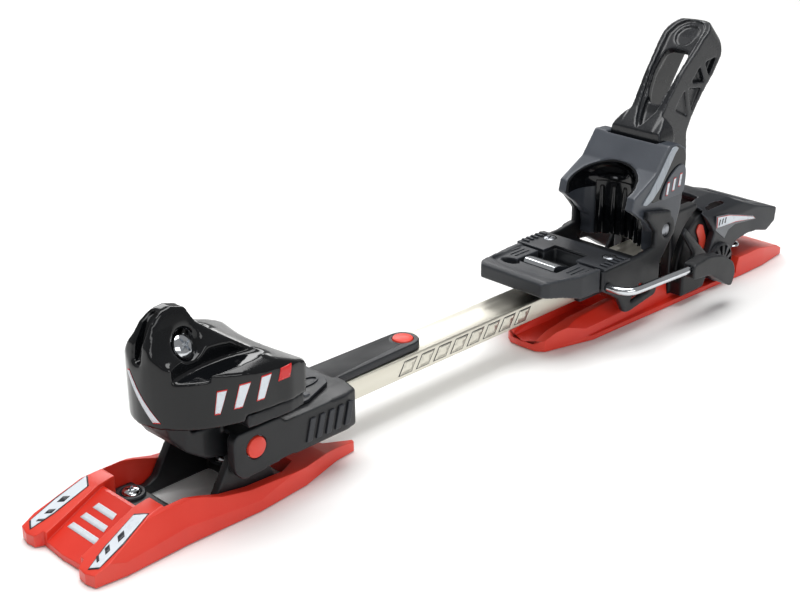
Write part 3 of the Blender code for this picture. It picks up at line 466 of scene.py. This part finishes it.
for label, side in sides.items():
    addPiece(f"plate_ridge_{label}", ovalRidge(150, 9.5 * side, 9.5, 4.6, 45.0, 1.3, 0.9), blackNylon,
             "frame", "black_nylon", bevel=0.3)
addPiece("beam_tube", copyNode("beam"), anodisedAluminium, "frame", "beam_metal", "beam", bevel=0.5)
beamTube = bpy.data.objects["beam_tube"]
beamMarks = {"count": 8, "first": 218, "pitch": 14.0,
             "outer": [(0, 25.4), (10.4, 25.4), (15.4, 33.4), (5.0, 33.4)],
             "inner": [(0.8, 25.8), (10.1, 25.8), (14.6, 33.0), (5.3, 33.0)]}
for i in range(beamMarks["count"]):
    x = beamMarks["first"] + beamMarks["pitch"] * i
    mark, inner = ([(x + u, z) for u, z in beamMarks[key]] for key in ("outer", "inner"))
    for label, side in sides.items():
        addFilm(f"beam_mark_rim_{label}_{i + 1}", mark, "XZ", side, beamTube, darkVinyl, "frame",
                "black_nylon", 0.02, 3)
        addFilm(f"beam_mark_{label}_{i + 1}", inner, "XZ", side, beamTube, anodisedAluminium, "frame",
                "beam_metal", 0.08, 3)


beamCover = {"rim": 1.6, "sunk": 0.5}


def makeBeamCover():
    shape = copyNode("beam_cover")
    top = max(shape.faces, key=lambda face: face.calc_center_median().z + face.calc_area() * 10)
    bmesh.ops.inset_region(shape, faces=[top], thickness=beamCover["rim"] * mm, depth=-beamCover["sunk"] * mm)
    return shape


addPiece("beam_cover_moulding", makeBeamCover(), blackNylon, "frame", "black_nylon", "beam_cover", bevel=0.3)
plug = turned([(0, 5.9), (4.6, 5.8), (5.7, 5.4), (6.1, 4.7), (6.1, 0), (0, 0)], 48)
addPiece("cover_plug_disc", aim(plug, (233, 0, 35.8), (0, 0, 1)), redNylon, "frame", "red_plastic",
         "cover_plug", crease=30)
addPiece("beam_end_moulding", copyNode("beam_end_plug"), blackNylon, "frame", "black_nylon", "beam_end_plug",
         bevel=0.6)
addPiece("catch_plate", copyNode("catch_bracket"), turnedSteel, "frame", "plain_steel", "catch_bracket",
         bevel=0.3)
print("frame made")


# toe unit: a gloss shell over the release spring

toeShell = {"voxel": 0.75, "rounds": 12, "slotHalf": 2.6,
            "slot": [(50, 86), (58, 86), (64.5, 104), (70, 108), (62, 112), (50, 100)],
            "well": [(0, 0), (8.0, 0), (9.2, 3), (12, 12), (0, 12)], "wellSunk": 0.8,
            "bars": ((76, 5), (85, 8), (97, 8)), "barLow": 61.5, "barHigh": 74,
            "patch": [(110, 70), (117, 70.5), (119, 77), (112, 76.5)],
            "stripe": [(-13, 58), (-9.5, 57.5), (8, 81), (5.5, 82)]}


def makeToeHousing(settings):
    shape = copyNode("toe_housing")
    slot = slab(settings["slot"], "XZ", -settings["slotHalf"], settings["slotHalf"])
    wells = []
    for side in sides.values():
        way = screwFace * Vector((1, side, 1))
        foot = screwSeat * Vector((1, side, 1)) - way * settings["wellSunk"]
        wells.append(aim(turned(settings["well"]), tuple(foot), way))
    shape = combine(shape, "DIFFERENCE", slot, *wells)
    shell = addPiece("toe_housing_shell", soften(shape, settings["voxel"], settings["rounds"]), blackAbs,
                     "toe_unit", "gloss_shell", "toe_housing", crease=70)
    for label, side in sides.items():
        for i, (x, long) in enumerate(settings["bars"]):
            low, high = settings["barLow"] + i, settings["barHigh"] + i
            bar = [(x, low), (x + long * 0.55, low), (x + long + 1.5, high), (x + long * 0.55 - 1, high)]
            addLabel(f"toe_bar_{label}_{i + 1}", bar, "XZ", side, shell, "toe_unit", "silver_label", 0.55,
                     redVinyl)
        addFilm(f"toe_patch_{label}", settings["patch"], "XZ", side, shell, redVinyl, "toe_unit",
                "red_plastic")
    addLabel("toe_front_stripe", settings["stripe"], "YZ", -1, shell, "toe_unit", "silver_label", 0.5,
             redVinyl)


screwFace, screwSeat = Vector((0.2, 0.85, 0.49)), Vector((76, 10, 92))
makeToeHousing(toeShell)
addPiece("toe_jaw_moulding", soften(copyNode("toe_jaw"), 0.7, 3), blackNylon, "toe_unit", "black_nylon",
         "toe_jaw", crease=60)
for label, side in sides.items():
    face = screwFace * Vector((1, side, 1))
    seat = screwSeat * Vector((1, side, 1)) - face * 2.1
    addScrew(f"housing_screw_head_{label}", tuple(seat), face, 6.3, 2.6, chromedSteel, "toe_unit",
             "chrome_steel", f"housing_screw_{label}")
addScrew("toe_setting_screw_head", (80.8, 0, 99.4), (0.6, 0, 0.8), 4.1, 5.4, chromedSteel, "toe_screw",
         "chrome_steel", "toe_setting_screw")
print("toe unit made")


# heel carriage, pad and brake

addPiece("heel_carrier_moulding", soften(copyNode("heel_carrier"), 0.8, 3), blackNylon, "heel_carriage",
         "black_nylon", "heel_carrier", crease=60)
addPiece("slider_plate_moulding", copyNode("slider_plate"), blackNylon, "heel_carriage", "black_nylon",
         "slider_plate", bevel=0.4)
sliderRibs = {"count": 5, "first": 375, "pitch": 4.3, "long": 2, "inner": 28.5, "outer": 34.2, "low": 51.9,
              "high": 53.0}
for i in range(sliderRibs["count"]):
    x = sliderRibs["first"] + sliderRibs["pitch"] * i
    for label, side in sides.items():
        low, high = sorted((sliderRibs["inner"] * side, sliderRibs["outer"] * side))
        rib = box((x, low, sliderRibs["low"]), (x + sliderRibs["long"], high, sliderRibs["high"]))
        addPiece(f"slider_rib_{label}_{i + 1}", rib, blackNylon, "heel_carriage", "black_nylon", bevel=0.35)


heelPad = {"stepCentre": 340, "stepLong": 6.5, "stepHalf": 27,
           "dishBack": [(352, 27.5), (374, 30), (374, -30), (352, -27.5)],
           "dishFloor": 51.1, "hole": (345.5, 17.5, 4.2, 6.4), "holeFloor": 46, "above": 60,
           "lines": ((353, 20.5, 13), (353, 24, 13), (357, 27.5, 9)), "lineLow": 50.9, "lineHigh": 51.6}


def makeHeelPad(settings):
    rim = []                                  # the curved step in front of the dish
    for degrees in range(-80, 81, 10):
        angle = math.radians(degrees)
        rim.append((settings["stepCentre"] - settings["stepLong"] * math.cos(angle),
                    settings["stepHalf"] * math.sin(angle)))
    dish = slab(rim + settings["dishBack"], "XY", settings["dishFloor"], settings["above"])
    hole = slab(oval(*settings["hole"]), "XY", settings["holeFloor"], settings["above"])
    return soften(combine(copyNode("heel_pad"), "DIFFERENCE", dish, hole), 0.7, 3)


addPiece("heel_pad_moulding", makeHeelPad(heelPad), greyNylon, "heel_carriage", "black_nylon", "heel_pad",
         crease=60)
for label, side in sides.items():
    addScrew(f"slider_screw_head_{label}", (391, 24 * side, 51.2), (0, 0, 1), 4.2, 1.2, turnedSteel,
             "heel_carriage", "plain_steel", f"slider_screw_{label}")
    for i, (x, y, long) in enumerate(heelPad["lines"]):
        near, far = y * side - 0.5, y * side + 0.5
        outline = roundBend([(x, near), (x + long, near), (x + long, far), (x, far)], 0.4)
        line = slab(outline, "XY", heelPad["lineLow"], heelPad["lineHigh"])
        addPiece(f"pad_line_{label}_{i + 1}", line, blackNylon, "heel_carriage", "black_nylon", bevel=0.2)
    pin = turned([(0, 7.7), (2.6, 7.7), (4.0, 7.0), (4.0, 0), (0, 0)])
    addPiece(f"jaw_pin_rod_{label}", aim(pin, (436, 26.2 * side, 60), (0, side, 0)), turnedSteel,
             "heel_carriage", "plain_steel", f"jaw_pin_{label}", crease=30)

brakeRod = {"radius": 2.5, "route": [(377, 0, 38.6), (377, 39, 38.6), (377.6, 43.5, 38.6),
                                     (379.6, 47.2, 38.6), (383.2, 49.4, 38.6), (388, 50, 38.5),
                                     (433, 50, 36.4), (452, 50, 35.4)]}


def makeBrakeRod(settings):
    half = settings["route"]
    route = [(x, -y, z) for x, y, z in reversed(half)] + half[1:]
    data = bpy.data.curves.new("brakeRod", "CURVE")
    data.dimensions = "3D"
    data.bevel_depth = settings["radius"] * mm
    data.bevel_resolution = 4
    data.use_fill_caps = True
    line = data.splines.new("POLY")
    line.points.add(len(route) - 1)
    for knot, point in zip(line.points, route):
        knot.co = (*spot(*point), 1)
    obj = bpy.data.objects.new("brakeRod", data)
    bpy.context.scene.collection.objects.link(obj)
    shape = bmesh.new()
    graph = bpy.context.evaluated_depsgraph_get()
    shape.from_mesh(bpy.data.meshes.new_from_object(obj.evaluated_get(graph)))
    bpy.data.objects.remove(obj, do_unlink=True)
    bmesh.ops.remove_doubles(shape, verts=shape.verts, dist=0.002 * mm)
    bmesh.ops.recalc_face_normals(shape, faces=shape.faces)
    return shape


addPiece("brake_rod", makeBrakeRod(brakeRod), chromedSteel, "brake", "chrome_steel", "brake_wire")
addPiece("brake_pedal_plate", copyNode("brake_pedal"), chromedSteel, "brake", "chrome_steel", "brake_pedal",
         bevel=0.4)
for label, side in sides.items():
    addPiece(f"brake_pad_moulding_{label}", soften(copyNode(f"brake_pad_{label}"), 0.5, 4), blackNylon,
             "brake", "black_nylon", f"brake_pad_{label}", crease=60)
print("carriage and brake made")


# heel jaw: a satin face with an arch, a gloss cup inside it and gloss cheeks

heelJaw = {"voxel": 0.7, "rounds": 4, "cupRadius": 25.0, "cupWall": 1.3, "cupCentre": (414, 0, 83.5),
           "domeHeight": 0.84,
           "face": [(404.6, 79), (406.6, 86.6), (428, 97.6), (440.4, 113), (460, 113), (460, 79)],
           "ribs": 5, "firstRib": -40, "ribTurn": 20, "ribRadius": 1.9,
           "ribPoints": ((22.2, 47.5), (22.4, 66), (23.6, 80)),
           "cheek": [(424, 82.5), (433, 93), (440, 103.5), (444.6, 111.8), (449, 111.9), (456.8, 107.5),
                     (458.2, 102), (458.2, 90), (456.5, 79.8), (424, 79.8)],
           "crescent": [(414, 81), (421, 87), (430.5, 97.3), (438.5, 107.8), (442.6, 112), (446.6, 112.2),
                        (449.4, 110.4), (446, 108), (439, 98), (431.5, 88), (424.5, 82), (418, 79.6)],
           "bars": (436.5, 443, 449.5), "barLow": 82, "barHigh": 90.5, "barRise": 1.5}


def makeCupDome(settings):
    domes = []
    for radius in (settings["cupRadius"], settings["cupRadius"] - settings["cupWall"]):
        dome = bmesh.new()
        bmesh.ops.create_uvsphere(dome, u_segments=64, v_segments=32, radius=radius * mm)
        bmesh.ops.scale(dome, vec=(1, 1, settings["domeHeight"]), verts=dome.verts)
        bmesh.ops.translate(dome, verts=dome.verts, vec=spot(*settings["cupCentre"]))
        domes.append(dome)
    shell = combine(domes[0], "DIFFERENCE", domes[1])
    return combine(shell, "INTERSECT", slab(settings["face"], "XZ", -29, 29))


def makeHeelJaw(settings):
    addPiece("jaw_housing_shell", soften(copyNode("jaw_housing"), settings["voxel"], settings["rounds"]),
             greyAbs, "heel_jaw", "grey_shell", "jaw_housing", crease=60)
    addPiece("jaw_cup_dome", makeCupDome(settings), blackAbs, "heel_jaw", "gloss_shell", crease=50)
    addPiece("jaw_cup_shell", copyNode("jaw_cup"), blackAbs, "heel_jaw", "gloss_shell", "jaw_cup", crease=50,
             bevel=0.3)
    for i in range(settings["ribs"]):
        angle = math.radians(settings["firstRib"] + settings["ribTurn"] * i)
        reach = Vector((math.cos(angle), math.sin(angle), 0))
        foot, neck, top = (tuple(Vector((settings["cupCentre"][0], 0, z)) + reach * out)
                           for out, z in settings["ribPoints"])
        thick = settings["ribRadius"]
        rib = combine(rod(foot, neck, thick, 20), "UNION", rod(neck, top, thick, 20))
        addPiece(f"cup_rib_{i + 1}", soften(rib, 0.45, 3), blackAbs, "heel_jaw", "gloss_shell", crease=60)
    for label, side in sides.items():
        low, high = sorted((29.2 * side, 29.9 * side))
        addPiece(f"jaw_cheek_{label}", slab(roundBend(settings["cheek"], 2), "XZ", low, high), blackAbs,
                 "heel_jaw", "gloss_shell", bevel=0.25)
        low, high = sorted((29.3 * side, 30.3 * side))
        addPiece(f"jaw_crescent_{label}", slab(roundBend(settings["crescent"], 1.5), "XZ", low, high),
                 greyVinyl, "heel_jaw", "silver_label", bevel=0.4)
        panel = addPiece(f"side_panel_{label}", copyNode(f"jaw_side_panel_{label}"), greyAbs, "heel_jaw",
                         "grey_panel", f"jaw_side_panel_{label}", bevel=0.3)
        for i, x in enumerate(settings["bars"]):
            foot, top = (settings[key] + i * settings["barRise"] for key in ("barLow", "barHigh"))
            bar = [(x, foot), (x + 2.4, foot), (x + 4, top), (x + 1.6, top)]
            addLabel(f"panel_bar_{label}_{i + 1}", bar, "XZ", side, panel, "heel_jaw", "silver_label", 0.45,
                     redVinyl)


makeHeelJaw(heelJaw)
addScrew("heel_setting_screw_head", (448.5, 0, 98.6), (0, 0, 1), 4.1, 4.1, chromedSteel, "heel_screw",
         "chrome_steel", "heel_setting_screw")


# heel lever: a channel with an eye, a dished front and a thumb hollow near its tip

heelLever = {"voxel": 0.6, "rounds": 5, "eye": (483, 0, 143), "along": Vector((0.71, 0, 0.704)),
             "across": Vector((0.704, 0, -0.71)), "dishDeep": 2.4,
             "front": [(440, 112), (443, 118), (455, 129), (470, 150), (490, 171), (502, 178), (506, 178.6)],
             "dish": [(-45, 0), (-39, 3.4), (-30, 6.8), (-20, 8.4), (-8, 9.8), (8, 11.2), (24, 12.2),
                      (33, 10.5), (38, 6), (39.5, 0)],
             "pocket": [(-42, 0), (-37, 2.6), (-30, 5), (-22, 6), (-18, 5)],
             "shoulder": [(12.9, 132), (12.9, 127), (15.5, 125), (17.8, 121), (19.2, 115), (19.8, 110.5),
                          (23, 110.5), (23, 132)],
             "thumb": [(18, 3), (21, 6.2), (27, 7.6), (32.5, 6), (35, 2)]}


def leverColumn(half, low, high, settings):
    # a bar square to the lever's front face, from half of its outline
    outline = [(frontScrewStation + u, v) for u, v in half + [(u, -v) for u, v in reversed(half) if v > 0]]
    shape = slab(roundBend(outline, 2), "XY", low, high)
    turn = Matrix((settings["along"], (0, 1, 0), -settings["across"])).transposed().to_4x4()
    bmesh.ops.transform(shape, matrix=Matrix.Translation(spot(*settings["eye"])) @ turn, verts=shape.verts)
    return shape


def frontSkin(deep, settings):
    # the layer of the lever that lies within a depth of its front face
    shift = settings["across"] * deep
    inner = [(x + shift.x, z + shift.z) for x, z in settings["front"]]
    return slab(inner + [(506, 195), (430, 195), (430, 112)], "XZ", -15, 15)


def makeHeelLever(settings):
    shape = copyNode("heel_lever")
    dish = combine(leverColumn(settings["dish"], -40, 60, settings), "INTERSECT",
                   frontSkin(settings["dishDeep"], settings))
    thumb = combine(leverColumn(settings["thumb"], -40, 60, settings), "INTERSECT",
                    frontSkin(settings["dishDeep"] + 1.6, settings))
    pocket = combine(leverColumn(settings["pocket"], -40, 60, settings), "INTERSECT",
                     frontSkin(settings["dishDeep"] + 3.4, settings))
    corners = [slab([(y * side, z) for y, z in settings["shoulder"]], "YZ", 440, 463)
               for side in sides.values()]
    shape = combine(shape, "DIFFERENCE", dish, thumb, pocket, *corners)
    return soften(shape, settings["voxel"], settings["rounds"])


addPiece("heel_lever_moulding", makeHeelLever(heelLever), sheenNylon, "heel_lever", "black_nylon",
         "heel_lever", crease=60)
print("heel unit made")


# rear base, lock and its lever

addPiece("rear_base_moulding", copyNode("rear_base_cover"), redNylon, "ski_base", "red_plastic",
         "rear_base_cover", bevel=1.0)
addPiece("lock_housing_moulding", soften(copyNode("lock_housing"), 0.8, 3), blackNylon, "ski_base",
         "black_nylon", "lock_housing", crease=60)
rearScrews = {"places": ((420, -15, 16.3), (420, 15, 16.3), (545, -15, 14.8), (545, 15, 14.8)), "height": 2.6}
for number, (x, y, z) in enumerate(rearScrews["places"]):
    addScrew(f"rear_screw_head_{number + 1}", (x, y, z), (0, 0, 1), skiScrewRadius, rearScrews["height"],
             chromedSteel, "ski_base", "chrome_steel", f"rear_screw_{number + 1}",
             spin=firstSpin + nextSpin * number)
lockLever = {"notch": [(551, 54), (552, 43.5), (560.5, 41), (563, 54)], "notchHalf": 17, "axle": (505, 18),
             "hubFace": 29.7,
             "hub": [(3.3, 0), (3.3, 3.4), (5, 3.9), (11.5, 3.2), (13.4, 2.4), (13.5, 0), (3.3, 0)],
             "blades": 11, "blade": ((5.4, -0.5), (11.8, -1.9), (12.2, 0), (11.8, 1.9), (5.4, 0.5)),
             "labelSunk": 0.55,
             "band": [(500.2, 43), (500.2, 50.6), (514, 48.8), (530, 44.4), (545.5, 39.6), (547.5, 37.8),
                      (523, 41.6), (512, 42.4)],
             "bars": (502, 505.4, 508.8), "barLow": 44.4, "barHigh": 48.2}
tailNotch = slab(lockLever["notch"], "XZ", -lockLever["notchHalf"], lockLever["notchHalf"])
notched = combine(copyNode("lock_lever"), "DIFFERENCE", tailNotch)
addPiece("lock_lever_moulding", soften(notched, 0.7, 4), greyNylon, "lock_lever", "grey_panel", "lock_lever",
         crease=60)
for label, side in sides.items():
    hub = turned(lockLever["hub"], 48)
    tools = []
    for i in range(lockLever["blades"]):
        blade = [(frontScrewStation + x, y) for x, y in lockLever["blade"]]
        cutter = slab(blade, "XY", 1.2, 6)
        turn = Matrix.Rotation(2 * math.pi * i / lockLever["blades"], 3, "Z")
        bmesh.ops.rotate(cutter, cent=(0, 0, 0), matrix=turn, verts=cutter.verts)
        tools.append(cutter)
    hub = combine(hub, "DIFFERENCE", *tools)
    axleX, axleZ = lockLever["axle"]
    hub = aim(hub, (axleX, lockLever["hubFace"] * side, axleZ), (0, side, 0))
    addPiece(f"fan_hub_{label}", hub, blackNylon, "lock_lever", "black_nylon",
             f"lever_hub_{label}", bevel=0.3)
    # sunk a little, so it clears the lock plates as the lever lifts
    plate = copyNode(f"lever_panel_{label}")
    bmesh.ops.translate(plate, verts=plate.verts, vec=(0, -lockLever["labelSunk"] * side * mm, 0))
    panel = addPiece(f"lever_label_{label}", plate, midAbs, "lock_lever", "silver_label",
                     f"lever_panel_{label}", bevel=0.15)
    addLabel(f"lever_band_{label}", lockLever["band"], "XZ", side, panel, "lock_lever", "silver_label", 0.5,
             redVinyl)
    foot, top = lockLever["barLow"], lockLever["barHigh"]
    for i, x in enumerate(lockLever["bars"]):
        bar = [(x, foot), (x + 1.3, foot), (x + 2.3, top), (x + 1.0, top)]
        addFilm(f"lever_bar_{label}_{i + 1}", bar, "XZ", side, panel, darkVinyl, "lock_lever", "black_nylon",
                0.35, 1)
addPiece("lock_hook_moulding", soften(copyNode("lock_hook"), 0.5, 3), redNylon, "lock_hook", "red_plastic",
         "lock_hook", crease=60)
hookFlag = {"inner": 23.35, "outer": 24.15,
            "outline": [(485.5, 43), (488.5, 47.5), (492.5, 46), (497, 36), (496.5, 27.5), (491, 27.5),
                        (489.5, 36)]}
for label, side in sides.items():
    low, high = sorted((hookFlag["inner"] * side, hookFlag["outer"] * side))
    addPiece(f"hook_flag_{label}", slab(roundBend(hookFlag["outline"], 1.5), "XZ", low, high), redNylon,
             "lock_hook", "red_plastic")
print("rear unit made")


# inner parts keep their own shapes

innerParts = {"walk_axle": turnedSteel, "lock_axle": turnedSteel, "hook_pin": turnedSteel,
              "release_post": turnedSteel, "pivot_bush_left": turnedSteel, "pivot_bush_right": turnedSteel,
              "toe_spring": springSteel, "toe_plunger": turnedSteel, "heel_spring": springSteel,
              "lever_pin": turnedSteel}
for node, material in innerParts.items():
    nodes[node].data.materials.clear()
    nodes[node].data.materials.append(material)


# floor, light and camera

def makeStage():
    shape = bmesh.new()
    bmesh.ops.create_grid(shape, x_segments=1, y_segments=1, size=6)
    bmesh.ops.translate(shape, verts=shape.verts, vec=(0, 0, -0.0005))
    mesh = bpy.data.meshes.new("floor")
    shape.to_mesh(mesh)
    shape.free()
    mesh.materials.append(makeMaterial("matPaper", {"dark": "#F4F4F3", "light": "#F8F8F7", "grainMm": 1.0,
                                                    "cloudMm": 300, "rough": (0.7, 0.8), "bump": 0.02,
                                                    "bumpMm": 0.05}))
    floor = bpy.data.objects.new("floor", mesh)
    bpy.context.scene.collection.objects.link(floor)


def addLight(name, place, target, size, power):
    data = bpy.data.lights.new(name, "AREA")
    data.shape = "RECTANGLE"
    data.size, data.size_y = size
    data.energy = power
    obj = bpy.data.objects.new(name, data)
    obj.location = place
    obj.rotation_euler = (Vector(target) - Vector(place)).to_track_quat("-Z", "Y").to_euler()
    bpy.context.scene.collection.objects.link(obj)


surround = 0.32     # strength of the white room around the table
# each soft box's place, what it points at, its two sides in metres, its watts
lamps = {"top": ((0.25, 0.15, 1.5), (0.22, 0, 0), (1.5, 0.9), 24),
         "nearSide": ((-0.1, -1.5, 0.8), (0.2, 0, 0.05), (1.4, 0.5), 7),
         "farSide": ((0.9, 1.3, 0.9), (0.2, 0, 0.05), (1.4, 0.5), 10)}


def makeLights():
    world = bpy.data.worlds.new("studio")
    bpy.context.scene.world = world
    world.use_nodes = True
    world.node_tree.nodes["Background"].inputs["Color"].default_value = (1, 1, 1, 1)
    world.node_tree.nodes["Background"].inputs["Strength"].default_value = surround
    for name, (place, target, size, power) in lamps.items():
        addLight(name, place, target, size, power)


viewpoint = {"place": (-0.35653, -0.53575, 0.39003), "heading": 44.885, "down": 23.316, "roll": -0.336,
             "lens": 66.43}


def makeCamera(settings):
    heading, down, roll = (math.radians(settings[key]) for key in ("heading", "down", "roll"))
    forward = Vector((math.cos(down) * math.sin(heading), math.cos(down) * math.cos(heading),
                      -math.sin(down)))
    right = Vector((math.cos(heading), -math.sin(heading), 0))
    up = right.cross(forward)
    across = right * math.cos(roll) + up * math.sin(roll)
    above = up * math.cos(roll) - right * math.sin(roll)
    data = bpy.data.cameras.new("camera")
    data.sensor_width = 36
    data.lens = settings["lens"]
    data.clip_start = 0.01
    camera = bpy.data.objects.new("camera", data)
    turn = Matrix((across, above, -forward)).transposed().to_4x4()
    camera.matrix_world = Matrix.Translation(settings["place"]) @ turn
    bpy.context.scene.collection.objects.link(camera)
    bpy.context.scene.camera = camera


makeStage()
makeLights()
makeCamera(viewpoint)
bpy.context.scene.view_settings.view_transform = "Standard"
print("stage made")
